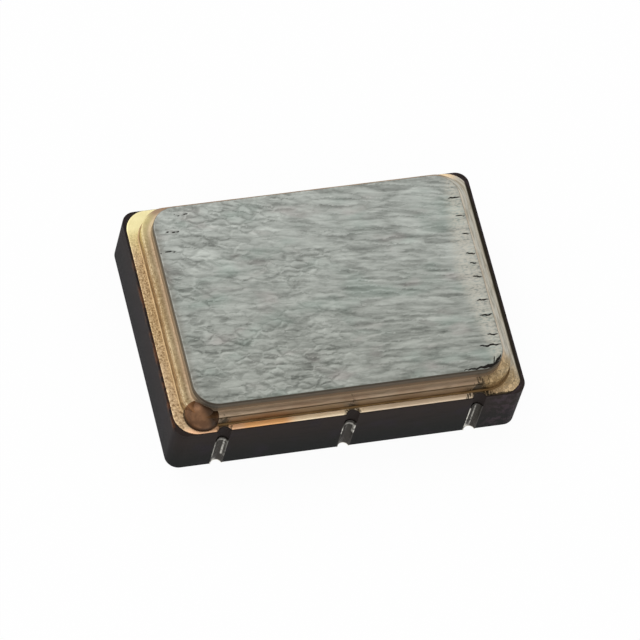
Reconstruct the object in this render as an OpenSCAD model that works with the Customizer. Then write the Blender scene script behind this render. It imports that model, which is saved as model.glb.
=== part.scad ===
// Surface-mount crystal oscillator in a six-terminal ceramic package.
// Millimetres. +X runs along the long sides, +Z points up through the lid, and the origin is the centre of
// the plane that the solder lands rest on. Terminals one to three run along the front side from -X to +X,
// and four to six run back along the rear side.

/* [Ceramic base] */
// Length of the package
package_l = 7.0; // [6.8:0.1:7.6]
// Width of the package
package_w = 5.0; // [4.8:0.1:5.6]
// Radius of the upright corners
corner_r = 0.26; // [0.1:0.02:0.4]
// Radius along the top edge of the ceramic
ceramic_edge_r = 0.01; // [0.01:0.01:0.06]
// Thickness of the sheet that makes the cavity floor
floor_sheet = 0.30; // [0.2:0.05:0.5]
// Thickness of the sheet whose top is the bond shelf
bond_sheet = 0.28; // [0.24:0.02:0.4]
// Thickness of the sheet whose top is the crystal shelf
crystal_sheet = 0.30; // [0.24:0.02:0.4]
// Thickness of the sheet that makes the upper wall
wall_sheet = 0.37; // [0.25:0.01:0.6]
// Radius of the upright corners inside the cavity
cavity_r = 0.20; // [0.1:0.02:0.3]

/* [Castellations and terminals] */
// Distance between neighbouring terminals
pitch = 2.54; // [2.3:0.02:2.6]
// Width of a notch at the face of the ceramic
notch_w = 0.26; // [0.2:0.02:0.4]
// Depth of a notch into the ceramic
notch_d = 0.10; // [0.08:0.01:0.14]
// Thickness of the plated lining in a notch
lining_t = 0.02; // [0.01:0.005:0.04]
// Length of a solder land along the package
land_l = 1.40; // [1.0:0.1:1.6]
// Width of a solder land across the package
land_w = 1.15; // [0.8:0.05:1.4]
// Thickness of a solder land
land_t = 0.02; // [0.01:0.005:0.04]
// Distance from the edge of the ceramic to a land
land_inset = 0.06; // [0.02:0.01:0.08]
// Radius of a land's corners
land_r = 0.08; // [0.02:0.02:0.15]
// Leg of the cut corner that marks land one
index_cut = 0.40; // [0.2:0.05:0.5]

/* [Seal band, ring and lid] */
// Distance from the rounded edge at the ends of the ceramic to the seal band
band_inset = 0.03; // [0.02:0.01:0.06]
// Distance from the rounded edge of the long sides to the seal band
band_side_inset = 0.005; // [0.005:0.005:0.03]
// Thickness of the seal band
band_t = 0.02; // [0.01:0.005:0.03]
// Radius of the band's outer corners
band_r = 0.44; // [0.3:0.02:0.6]
// Distance that the band is pulled back round a notch
band_pullback = 0.01; // [0.005:0.005:0.03]
// Distance that the band shows between the ring and the cavity
band_inner = 0.06; // [0.03:0.01:0.1]
// Thickness of the braze under the ring
braze_t = 0.02; // [0.01:0.005:0.04]
// Radius of the braze fillet at the foot of the ring
braze_fillet = 0.035; // [0.01:0.005:0.04]
// Radius of the drop of braze that ran out at the corner by terminal one
drop_r = 0.345; // [0.3:0.005:0.36]
// Distance from the end of the ring to the middle of the drop
drop_end_inset = 0.35; // [0.3:0.01:0.4]
// Distance from the long side of the ring to the middle of the drop
drop_side_inset = 0.245; // [0.23:0.005:0.3]
// Distance from the end of the ceramic to the ring
ring_inset = 0.24; // [0.16:0.02:0.3]
// Distance left between the braze fillet and the back of a notch
ring_to_notch = 0.01; // [0.005:0.005:0.04]
// Width of the ring's section
ring_wall = 0.45; // [0.35:0.05:0.6]
// Height of the ring's section
ring_h = 0.265; // [0.2:0.005:0.4]
// Radius of the ring's outer corners
ring_r = 0.55; // [0.4:0.05:0.7]
// Radius of the ring's inner corners
ring_inner_r = 0.24; // [0.1:0.02:0.4]
// Radius along the top edge of the ring
ring_edge_r = 0.03; // [0.01:0.01:0.06]
// Step from the outside of the ring to the edge of the lid along the long sides
lid_step = 0.155; // [0.1:0.005:0.2]
// Step from the outside of the ring to the edge of the lid at the ends
lid_end_step = 0.18; // [0.1:0.005:0.2]
// Thickness of the lid
lid_t = 0.26; // [0.15:0.01:0.35]
// Radius of the lid's upright corners
lid_r = 0.48; // [0.3:0.02:0.7]
// Radius along the top edge of the lid
lid_edge_r = 0.05; // [0.02:0.01:0.08]

/* [Circuit] */
// Length of the die
die_l = 1.70; // [1.3:0.1:1.9]
// Width of the die
die_w = 1.40; // [1.2:0.1:1.5]
// Thickness of the die
die_t = 0.20; // [0.15:0.01:0.24]
// Gap from the die to the wall of its well
well_gap = 0.30; // [0.25:0.05:0.45]
// Thickness of the plated pad under the die
die_pad_t = 0.015; // [0.01:0.005:0.03]
// Distance that the plated pad reaches past the die
die_pad_margin = 0.18; // [0.1:0.02:0.24]
// Thickness of the adhesive film under the die
die_glue_t = 0.02; // [0.01:0.005:0.04]
// Distance that the adhesive reaches past the die
die_glue_margin = 0.06; // [0.02:0.02:0.1]
// Side of a bond pad on the die
bond_pad = 0.10; // [0.08:0.01:0.14]
// Height of a bond pad above the die
bond_pad_t = 0.006; // [0.004:0.002:0.01]
// Distance from the edge of the die to the centre of its bond pads
bond_pad_inset = 0.12; // [0.09:0.01:0.2]
// Distance between bond pads along the long sides of the die
bond_pad_pitch = 0.55; // [0.4:0.05:0.6]
// Diameter of the bond wire
wire_d = 0.025; // [0.018:0.001:0.04]
// Height of a wire's loop above the straight line between its ends
wire_loop = 0.12; // [0.08:0.01:0.16]

/* [Printed conductors] */
// Thickness of the printed conductors inside the ceramic
trace_t = 0.015; // [0.01:0.005:0.03]
// Width of a printed trace
trace_w = 0.15; // [0.1:0.01:0.2]
// Width of a bond finger
finger_w = 0.26; // [0.18:0.02:0.34]
// Distance from the edge of the die well to a bond finger
finger_setback = 0.08; // [0.05:0.01:0.12]
// Distance between bond fingers along a long side
finger_pitch = 0.90; // [0.7:0.05:1.1]
// Distance from a finger's tip to where its wire lands
landing = 0.16; // [0.1:0.02:0.2]
// Distance between the crystal's two bond fingers
crystal_finger_pitch = 0.80; // [0.5:0.05:1.0]
// Length of the shelf that carries the crystal's bond fingers, from the crystal shelf to the die well
crystal_landing_l = 0.36; // [0.36:0.02:0.6]
// Radius of a via
via_r = 0.07; // [0.05:0.01:0.1]
// Distance from the centre of the package to the ground via
ground_via_x = 1.60; // [1.4:0.05:2.0]

/* [Crystal] */
// Length of the shelf that the crystal is mounted on
mount_shelf_l = 0.90; // [0.8:0.05:1.0]
// Length of the shelf under the crystal's free end
rest_shelf_l = 0.65; // [0.5:0.05:0.8]
// Gap from the crystal to the end walls of the cavity
blank_end_gap = 0.30; // [0.2:0.05:0.4]
// Gap from the crystal to the side walls of the cavity
blank_side_gap = 0.50; // [0.3:0.05:0.8]
// Thickness of the quartz blank
blank_t = 0.10; // [0.06:0.01:0.16]
// Radius of the blank's corners
blank_r = 0.08; // [0.02:0.02:0.14]
// Thickness of the electrode films
film_t = 0.008; // [0.005:0.001:0.012]
// Length of the electrodes
electrode_l = 2.40; // [1.8:0.1:2.6]
// Width of the electrodes
electrode_w = 1.80; // [1.2:0.1:2.0]
// Radius of the electrodes' corners
electrode_r = 0.20; // [0.1:0.05:0.4]
// Width of an electrode's tab
tab_w = 0.50; // [0.3:0.05:0.6]
// Length of a crystal mounting pad
mount_pad_l = 0.60; // [0.5:0.05:0.7]
// Width of a crystal mounting pad
mount_pad_w = 0.72; // [0.6:0.04:0.8]
// Gap from the end wall of the cavity to a mounting pad
mount_pad_gap = 0.14; // [0.08:0.02:0.18]
// Distance between the mounting pads
mount_pitch = 1.60; // [1.4:0.05:1.9]
// Radius of an adhesive dot at its foot
dot_r = 0.26; // [0.2:0.02:0.29]
// Radius of an adhesive dot under the blank
dot_top_r = 0.20; // [0.14:0.02:0.2]
// Height of an adhesive dot
dot_h = 0.05; // [0.03:0.01:0.08]
// Gap from the crystal to the bump under its free end
rest_gap = 0.02; // [0.01:0.005:0.03]
// Length of the bump
rest_l = 0.20; // [0.14:0.02:0.28]
// Width of the bump
rest_w = 1.20; // [0.8:0.1:1.6]

/* [Hidden] */
$fn = 48;

ceramic_color = "#2a2625";
gold_color = "#c8a271";
nickel_color = "#9a9d97";
tungsten_color = "#7d7f85";
braze_color = "#b9b6ac";
epoxy_color = "#a9a9a4";
silicon_color = "#5a5f6b";
wire_color = "#d9b45a";
quartz_color = "#dfe6e8";

// Cuts reach this far past the face that they open
over = 0.5;

// Heights of the sheets, from the lands up
ceramic_z = land_t;
floor_z = ceramic_z + floor_sheet;
bond_z = floor_z + bond_sheet;
crystal_z = bond_z + crystal_sheet;
ceramic_top = crystal_z + wall_sheet;
ceramic_h = ceramic_top - ceramic_z;
braze_z = ceramic_top + band_t;
ring_z = braze_z + braze_t;
lid_z = ring_z + ring_h;

// Half sizes of the outlines
base_x = package_l / 2;
base_y = package_w / 2;
band_x = base_x - ceramic_edge_r - band_inset;
band_y = base_y - ceramic_edge_r - band_side_inset;
ring_x = base_x - ring_inset;
ring_y = base_y - notch_d - band_pullback - ring_to_notch - braze_fillet;
lid_x = ring_x - lid_end_step;
lid_y = ring_y - lid_step;
cavity_x = ring_x - ring_wall - band_inner;
cavity_y = ring_y - ring_wall - band_inner;
well_x = die_l / 2 + well_gap;
well_y = die_w / 2 + well_gap;
mount_shelf_x = -cavity_x + mount_shelf_l;
rest_shelf_x = cavity_x - rest_shelf_l;
// The die sits midway between what the crystal's bond fingers need and the far shelf
die_x = (mount_shelf_x + crystal_landing_l + rest_shelf_x) / 2;

// A notch is an arc through its two lips and its deepest point
notch_r = (pow(notch_w / 2, 2) + pow(notch_d, 2)) / (2 * notch_d);
notch_out = notch_r - notch_d;

// Terminal number to place: one to three in front from -X to +X, four to six behind from +X to -X
function side_of(n) = n <= 3 ? -1 : 1;
function column_of(n) = n <= 3 ? n - 2 : 5 - n;
function terminal_x(n) = column_of(n) * pitch;
function notch_centre(n) = [terminal_x(n), side_of(n) * (base_y + notch_out)];

// The die and its bond pads
die_z = floor_z + die_pad_t + die_glue_t;
bond_pad_z = die_z + die_t + bond_pad_t;
bond_pad_y = die_w / 2 - bond_pad_inset;
crystal_bond_x = die_x - die_l / 2 + bond_pad_inset;
crystal_bond_y = bond_pad_pitch / 2;
function die_bond(n) = [die_x + column_of(n) * bond_pad_pitch, side_of(n) * bond_pad_y];

// Bond fingers on the shelf, and where the wires land on them
finger_tip_y = well_y + finger_setback;
crystal_tip_x = die_x - well_x - finger_setback;
trace_y = (cavity_y + base_y - notch_d) / 2;
function finger_x(n) = die_x + column_of(n) * finger_pitch;

// The crystal and what carries it
mount_x = -cavity_x + mount_pad_gap + mount_pad_l / 2;
mount_y = mount_pitch / 2;
mount_top = crystal_z + trace_t;
blank_z = mount_top + dot_h + film_t;
blank_x = cavity_x - blank_end_gap;
blank_y = cavity_y - blank_side_gap;
foot_x = mount_x + dot_r;

// One side of a sweep is turned to each of the four sides
SIDES = [0, 90, 180, 270];

// Upright section at the rim of a plate: its outer top corner is rounded by e
module rim_section(w, h, e) {
    difference() {
        square([w, h]);
        if (e > 0)
            translate([w - e, h - e])
                difference() {
                    square(2 * e);
                    circle(e);
                }
    }
}

// Carries an upright section round a rounded rectangle. x and y are half sizes to the outline, and the
// section's own x runs outwards from the centres of the corners, which are r inside the outline.
module carry_round(x, y, r) {
    for (turn = SIDES) {
        along = turn % 180 == 0 ? y - r : x - r;
        reach = turn % 180 == 0 ? x - r : y - r;
        rotate([0, 0, turn])
            translate([reach, along, 0]) {
                rotate([90, 0, 0]) linear_extrude(2 * along) children();
                rotate_extrude(angle = 90) children();
            }
    }
}

// Plate of half sizes x and y with upright corners of radius r and its top edge rounded by e
module plate(x, y, h, r, e = 0) {
    carry_round(x, y, r) rim_section(r, h, e);
    translate([-(x - r), -(y - r), 0]) cube([2 * (x - r), 2 * (y - r), h]);
}

// The same, from corner a to corner b
module plate_between(a, b, h, r) {
    translate([(a[0] + b[0]) / 2, (a[1] + b[1]) / 2, 0])
        plate(abs(b[0] - a[0]) / 2, abs(b[1] - a[1]) / 2, h, r);
}

// Straight strip of width w and thickness t between two points, square past both ends by half its width
module strip(a, b, w, t) {
    low = [min(a[0], b[0]) - w / 2, min(a[1], b[1]) - w / 2, 0];
    high = [max(a[0], b[0]) + w / 2, max(a[1], b[1]) + w / 2, t];
    translate(low) cube(high - low);
}

module notch_cylinder(n, r, h) {
    translate(notch_centre(n)) cylinder(h = h, r = r);
}

// Conductor of one terminal: a finger on the bond shelf and a trace out to the notch
module lead_shape(n) {
    s = side_of(n);
    x = finger_x(n);
    translate([x - finger_w / 2, s > 0 ? finger_tip_y : -trace_y - trace_w / 2, 0])
        cube([finger_w, trace_y + trace_w / 2 - finger_tip_y, trace_t]);
    strip([x, s * trace_y], [terminal_x(n), s * trace_y], trace_w, trace_t);
    strip([terminal_x(n), s * trace_y], [terminal_x(n), s * (base_y - notch_d)], trace_w, trace_t);
}

// Conductor of one side of the crystal, at the level of the bond shelf
module crystal_lead_shape(s) {
    y = s * crystal_finger_pitch / 2;
    translate([mount_x - trace_w / 2, y - finger_w / 2, 0])
        cube([crystal_tip_x - mount_x + trace_w / 2, finger_w, trace_t]);
    strip([mount_x, y], [mount_x, s * mount_y], trace_w, trace_t);
}

module ground_via_shape() {
    translate([ground_via_x, side_of(3) * trace_y, bond_z + trace_t])
        cylinder(h = ceramic_top - bond_z - trace_t, r = via_r);
}

module crystal_via_shape(s) {
    translate([mount_x, s * mount_y, bond_z + trace_t])
        cylinder(h = crystal_z - bond_z - trace_t, r = via_r);
}

module ceramic_base() {
    color(ceramic_color)
        difference() {
            translate([0, 0, ceramic_z]) plate(base_x, base_y, ceramic_h, corner_r, ceramic_edge_r);
            // Upper cavity, down to the crystal shelf
            translate([0, 0, crystal_z]) plate(cavity_x, cavity_y, wall_sheet + over, cavity_r);
            // Space between the crystal shelves, down to the bond shelf
            translate([0, 0, bond_z])
                plate_between([mount_shelf_x, -cavity_y], [rest_shelf_x, cavity_y],
                    crystal_sheet + over, cavity_r);
            // Well for the die, down to the floor
            translate([die_x, 0, floor_z]) plate(well_x, well_y, bond_sheet + over, cavity_r);
            for (n = [1:6])
                translate([0, 0, ceramic_z - over]) notch_cylinder(n, notch_r, ceramic_h + 2 * over);
            // Printed conductors lie in the sheets
            translate([0, 0, bond_z]) {
                for (n = [1:6]) lead_shape(n);
                for (s = [-1, 1]) crystal_lead_shape(s);
            }
            for (s = [-1, 1]) crystal_via_shape(s);
            ground_via_shape();
        }
}

// Solder land under the case and the lining of its notch, plated as one piece
module terminal(n) {
    s = side_of(n);
    edge = base_y - land_inset;
    left = max(terminal_x(n) - land_l / 2, -base_x + land_inset + land_r);
    right = min(terminal_x(n) + land_l / 2, base_x - land_inset - land_r);
    color(nickel_color)
        difference() {
            union() {
                difference() {
                    plate_between([left, s * edge], [right, s * (edge - land_w)], land_t, land_r);
                    if (n == 1)
                        translate([right, s * (edge - land_w), 0])
                            rotate([0, 0, 45])
                                cube([sqrt(2) * index_cut, sqrt(2) * index_cut, 2 * over], center = true);
                }
                intersection() {
                    notch_cylinder(n, notch_r, crystal_z);
                    translate([-base_x, s > 0 ? 0 : -base_y, 0]) cube([package_l, base_y, crystal_z]);
                }
            }
            translate([0, 0, -over]) notch_cylinder(n, notch_r - lining_t, ceramic_h + 2 * over);
        }
}

module seal_band() {
    color(gold_color)
        translate([0, 0, ceramic_top])
            difference() {
                plate(band_x, band_y, band_t, band_r);
                translate([0, 0, -over]) plate(cavity_x, cavity_y, band_t + 2 * over, cavity_r);
                for (n = [1:6])
                    translate([0, 0, -over]) notch_cylinder(n, notch_r + band_pullback, band_t + 2 * over);
            }
}

module ring_opening(h) {
    plate(ring_x - ring_wall, ring_y - ring_wall, h, ring_inner_r);
}

// The drop stands on the band and laps over the corner of the ring, up to the foot of the lid
module braze_drop() {
    difference() {
        translate([-ring_x + drop_end_inset, -ring_y + drop_side_inset, 0]) sphere(drop_r);
        translate([-base_x, -base_y, -2 * over]) cube([package_l, package_w, 2 * over]);
        plate(ring_x, ring_y, braze_t + ring_h, ring_r, ring_edge_r);
        translate([0, 0, lid_z - braze_z]) plate(lid_x, lid_y, lid_t, lid_r);
    }
}

module braze_joint() {
    color(braze_color)
        translate([0, 0, braze_z]) {
            braze_drop();
            difference() {
                plate(ring_x, ring_y, braze_t, ring_r);
                translate([0, 0, -over]) ring_opening(braze_t + 2 * over);
            }
            // Concave fillet that climbs the foot of the ring
            carry_round(ring_x, ring_y, ring_r)
                translate([ring_r, 0])
                    difference() {
                        square(braze_fillet);
                        translate([braze_fillet, braze_fillet]) circle(braze_fillet);
                    }
        }
}

module seal_ring() {
    color(gold_color)
        translate([0, 0, ring_z])
            difference() {
                plate(ring_x, ring_y, ring_h, ring_r, ring_edge_r);
                translate([0, 0, -over]) ring_opening(ring_h + 2 * over);
            }
}

module lid() {
    color(nickel_color)
        translate([0, 0, lid_z]) plate(lid_x, lid_y, lid_t, lid_r, lid_edge_r);
}

module lead(n) {
    color(tungsten_color)
        translate([0, 0, bond_z])
            difference() {
                lead_shape(n);
                translate([0, 0, -over]) notch_cylinder(n, notch_r, trace_t + 2 * over);
            }
}

module crystal_lead(s) {
    color(tungsten_color) {
        translate([0, 0, bond_z]) crystal_lead_shape(s);
        crystal_via_shape(s);
        translate([mount_x - mount_pad_l / 2, s * mount_y - mount_pad_w / 2, crystal_z])
            cube([mount_pad_l, mount_pad_w, trace_t]);
    }
}

module ground_via() {
    color(tungsten_color) ground_via_shape();
}

module die_pad() {
    color(gold_color)
        translate([die_x, 0, floor_z])
            plate(die_l / 2 + die_pad_margin, die_w / 2 + die_pad_margin, die_pad_t, die_glue_margin);
}

module die_adhesive() {
    color(epoxy_color)
        translate([die_x, 0, floor_z + die_pad_t])
            plate(die_l / 2 + die_glue_margin, die_w / 2 + die_glue_margin, die_glue_t, die_glue_margin);
}

module bond_pad_at(place) {
    translate([place[0] - bond_pad / 2, place[1] - bond_pad / 2, die_t])
        cube([bond_pad, bond_pad, bond_pad_t]);
}

module oscillator_die() {
    color(silicon_color)
        translate([0, 0, die_z]) {
            translate([die_x - die_l / 2, -die_w / 2, 0]) cube([die_l, die_w, die_t]);
            for (n = [1:6]) bond_pad_at(die_bond(n));
            for (s = [-1, 1]) bond_pad_at([crystal_bond_x, s * crystal_bond_y]);
        }
}

// A wire is one sweep of eight-sided rings: a squashed ball on the die, a neck, the loop and a flat stitch.
// Each ring is [distance along, height, half width, half thickness, lean], in the wire's own upright plane.
WIRE_SIDES = 8;
WIRE_STEPS = 9;
function wire_ball() = let (r = wire_d / 2)
    [[0, 0, 1.3 * r, 1.3 * r, 0], [0, 0.5 * r, 2.4 * r, 2.4 * r, 0], [0, 1.3 * r, 2.4 * r, 2.4 * r, 0],
        [0, 1.9 * r, 1.2 * r, 1.2 * r, 0]];
// Height of the loop's start above the die and of its end above the finger
function loop_start() = 2.6 * wire_d / 2;
function loop_end() = 0.7 * wire_d / 2;
function loop_x(t, run) = run * pow(t, 1.7);
function loop_z(t, rise) = loop_start() + (rise + loop_end() - loop_start()) * t
    + 4 * wire_loop * t * (1 - t);
function loop_lean(t, run, rise) = let (d = 0.01, a = max(t - d, 0), b = min(t + d, 1))
    atan2(loop_x(b, run) - loop_x(a, run), loop_z(b, rise) - loop_z(a, rise));
function wire_rings(run, rise) = let (r = wire_d / 2) concat(
    wire_ball(),
    [for (i = [0:WIRE_STEPS]) let (t = i / WIRE_STEPS)
        [loop_x(t, run), loop_z(t, rise), r, i == WIRE_STEPS ? 0.7 * r : r, loop_lean(t, run, rise)]],
    [[run + 2.2 * r, rise + 0.5 * r, 1.7 * r, 0.5 * r, 90],
        [run + 5 * r, rise + 0.25 * r, 1.5 * r, 0.25 * r, 90]]);
function ring_points(ring) = [for (k = [0:WIRE_SIDES - 1]) let (a = 360 * k / WIRE_SIDES + 180 / WIRE_SIDES,
    up = ring[3] * cos(a) / cos(180 / WIRE_SIDES))
    [ring[0] - up * cos(ring[4]), ring[2] * sin(a), ring[1] + up * sin(ring[4])]];

module bond_wire(from, to) {
    away = to - from;
    run = norm([away[0], away[1]]);
    rings = wire_rings(run, away[2]);
    last = len(rings) - 1;
    points = [for (ring = rings) each ring_points(ring)];
    sides = [for (i = [0:last - 1], k = [0:WIRE_SIDES - 1]) let (m = (k + 1) % WIRE_SIDES)
        [i * WIRE_SIDES + k, i * WIRE_SIDES + m, (i + 1) * WIRE_SIDES + m, (i + 1) * WIRE_SIDES + k]];
    ends = [[for (k = [WIRE_SIDES - 1:-1:0]) k], [for (k = [0:WIRE_SIDES - 1]) last * WIRE_SIDES + k]];
    color(wire_color)
        translate(from)
            rotate([0, 0, atan2(away[1], away[0])]) polyhedron(points, concat(sides, ends));
}

module terminal_wire(n) {
    place = die_bond(n);
    bond_wire([place[0], place[1], bond_pad_z],
        [finger_x(n), side_of(n) * (finger_tip_y + landing), bond_z + trace_t]);
}

module crystal_wire(s) {
    bond_wire([crystal_bond_x, s * crystal_bond_y, bond_pad_z],
        [crystal_tip_x - landing, s * crystal_finger_pitch / 2, bond_z + trace_t]);
}

module crystal_adhesive(s) {
    color(epoxy_color)
        translate([mount_x, s * mount_y, mount_top]) cylinder(h = dot_h, r1 = dot_r, r2 = dot_top_r);
}

module quartz_blank() {
    color(quartz_color, 0.6)
        translate([0, 0, blank_z]) plate(blank_x, blank_y, blank_t, blank_r);
}

// Film on one face of the blank, with a tab over the adhesive dot of that side
module electrode_face(s) {
    plate(electrode_l / 2, electrode_w / 2, film_t, electrode_r);
    translate([-blank_x, s * mount_y - tab_w / 2, 0])
        cube([blank_x - electrode_l / 2 + electrode_r, tab_w, film_t]);
}

// The top film folds round the end of the blank and under it, down to its own dot
module top_electrode() {
    color(nickel_color) {
        translate([0, 0, blank_z + blank_t]) electrode_face(-1);
        translate([-blank_x - film_t, -mount_y - tab_w / 2, blank_z - film_t]) {
            cube([film_t, tab_w, blank_t + 2 * film_t]);
            cube([foot_x + blank_x + film_t, tab_w, film_t]);
        }
    }
}

module bottom_electrode() {
    color(nickel_color)
        translate([0, 0, blank_z - film_t]) electrode_face(1);
}

module crystal_rest() {
    color(ceramic_color)
        translate([rest_shelf_x + rest_l, 0, crystal_z])
            plate(rest_l / 2, rest_w / 2, blank_z - film_t - rest_gap - crystal_z, rest_l / 4);
}

ceramic_base();
terminal(1);  // terminal_1
terminal(2);  // terminal_2
terminal(3);  // terminal_3
terminal(4);  // terminal_4
terminal(5);  // terminal_5
terminal(6);  // terminal_6
seal_band();
braze_joint();
seal_ring();
lid();
lead(1);  // lead_1
lead(2);  // lead_2
lead(3);  // lead_3
lead(4);  // lead_4
lead(5);  // lead_5
lead(6);  // lead_6
crystal_lead(-1);  // crystal_lead_a
crystal_lead(1);  // crystal_lead_b
ground_via();
die_pad();
die_adhesive();
oscillator_die();
terminal_wire(1);  // bond_wire_1
terminal_wire(2);  // bond_wire_2
terminal_wire(3);  // bond_wire_3
terminal_wire(4);  // bond_wire_4
terminal_wire(5);  // bond_wire_5
terminal_wire(6);  // bond_wire_6
crystal_wire(-1);  // bond_wire_a
crystal_wire(1);  // bond_wire_b
crystal_adhesive(-1);  // crystal_adhesive_a
crystal_adhesive(1);  // crystal_adhesive_b
quartz_blank();
top_electrode();
bottom_electrode();
crystal_rest();
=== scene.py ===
import math

import bmesh
import bpy
from mathutils import Matrix, Vector, noise


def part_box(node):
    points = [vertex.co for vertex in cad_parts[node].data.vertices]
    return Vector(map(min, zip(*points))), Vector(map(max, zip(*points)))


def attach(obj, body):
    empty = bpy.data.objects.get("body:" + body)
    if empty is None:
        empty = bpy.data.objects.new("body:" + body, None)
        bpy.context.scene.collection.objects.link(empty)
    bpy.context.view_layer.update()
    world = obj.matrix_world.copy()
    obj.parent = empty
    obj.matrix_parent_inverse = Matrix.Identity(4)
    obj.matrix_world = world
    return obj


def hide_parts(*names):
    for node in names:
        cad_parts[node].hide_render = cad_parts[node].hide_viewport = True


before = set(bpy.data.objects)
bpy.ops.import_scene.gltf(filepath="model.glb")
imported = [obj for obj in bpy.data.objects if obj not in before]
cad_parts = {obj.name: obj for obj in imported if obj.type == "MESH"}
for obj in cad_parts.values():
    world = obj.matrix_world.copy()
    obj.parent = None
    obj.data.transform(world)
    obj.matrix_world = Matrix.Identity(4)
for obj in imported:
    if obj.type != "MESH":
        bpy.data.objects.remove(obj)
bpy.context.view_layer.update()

mm = 0.001
micron = 0.000001

# the camera stands where the photograph was taken from
shot = {
    "azimuth": -28.4,
    "elevation": 58.7,
    "roll": 17.5,
    "distance": 120 * mm,
    "lens": 346.8,
    "sensor": 36.0,
    "objectRight": -0.132 * mm,  # where the middle of the base falls from the middle of the picture
    "objectUp": -0.286 * mm,
}


def turnedAxes(azimuth, elevation, roll):
    a, e, r = (math.radians(angle) for angle in (azimuth, elevation, roll))
    back = Vector((math.sin(a) * math.cos(e), -math.cos(a) * math.cos(e), math.sin(e)))
    right = Vector((0, 0, 1)).cross(back).normalized()
    up = back.cross(right)
    rolledRight = right * math.cos(r) + up * math.sin(r)
    rolledUp = up * math.cos(r) - right * math.sin(r)
    return rolledRight, rolledUp, back


def placeCamera():
    right, up, back = turnedAxes(shot["azimuth"], shot["elevation"], shot["roll"])
    data = bpy.data.cameras.new("photoCamera")
    data.lens = shot["lens"]
    data.sensor_width = shot["sensor"]
    data.clip_start = shot["distance"] / 100
    data.clip_end = shot["distance"] * 100
    camera = bpy.data.objects.new("photoCamera", data)
    place = back * shot["distance"] - right * shot["objectRight"] - up * shot["objectUp"]
    camera.matrix_world = Matrix.Translation(place) @ Matrix((right, up, back)).transposed().to_4x4()
    bpy.context.scene.collection.objects.link(camera)
    bpy.context.scene.camera = camera
    print("camera placed")


# a colour as seen on screen, 0 to 255, to the linear values that shaders take
def shade(colour):
    def linear(level):
        level = level / 255
        return level / 12.92 if level <= 0.04045 else ((level + 0.055) / 1.055) ** 2.4
    return (*(linear(level) for level in colour), 1.0)


# shader maths: a Field is a number, colour or place that varies over a surface, and Python's signs work on it
class Field:
    def __init__(self, maker, socket):
        self.maker = maker
        self.socket = socket

    def math(self, operation, *others):
        return self.maker.node("ShaderNodeMath", {"operation": operation}, [self, *others])

    def __add__(self, other):
        return self.math("ADD", other)

    def __sub__(self, other):
        return self.math("SUBTRACT", other)

    def __mul__(self, other):
        return self.math("MULTIPLY", other)

    def __truediv__(self, other):
        return self.math("DIVIDE", other)

    def __rsub__(self, other):
        return self.maker.node("ShaderNodeMath", {"operation": "SUBTRACT"}, [other, self])

    __radd__ = __add__
    __rmul__ = __mul__

    def size(self):
        return self.math("ABSOLUTE")

    def lesser(self, other):
        return self.math("MINIMUM", other)

    def greater(self, other):
        return self.math("MAXIMUM", other)


class NodeMaker:
    def __init__(self, tree, output):
        self.tree = tree
        self.tree.nodes.clear()
        self.output = self.tree.nodes.new(output)

    # any node: its type, its settings, the values or links of its sockets, and which output to hand back
    def node(self, kind, settings, inputs, output=0):
        made = self.tree.nodes.new(kind)
        for key, value in settings.items():
            if key == "stops":
                while len(made.color_ramp.elements) < len(value):
                    made.color_ramp.elements.new(1)
                for stop, (at, colour) in zip(made.color_ramp.elements, value):
                    stop.position = at
                    stop.color = colour
            else:
                setattr(made, key, value)
        named = inputs.items() if isinstance(inputs, dict) else enumerate(inputs)
        for key, value in named:
            socket = made.inputs[key]
            if isinstance(value, Field):
                self.tree.links.new(value.socket, socket)
            else:
                socket.default_value = value
        return Field(self, made.outputs[output])

    # 1 for rays that the camera, a mirror finish or glass sends, so that they find the white background
    def seenByLens(self):
        path = self.node("ShaderNodeLightPath", {}, {}).socket.node.outputs
        camera, gloss, glass = (Field(self, path[name]) for name in
                                ("Is Camera Ray", "Is Glossy Ray", "Is Transmission Ray"))
        return camera.greater(gloss).greater(glass)


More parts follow.
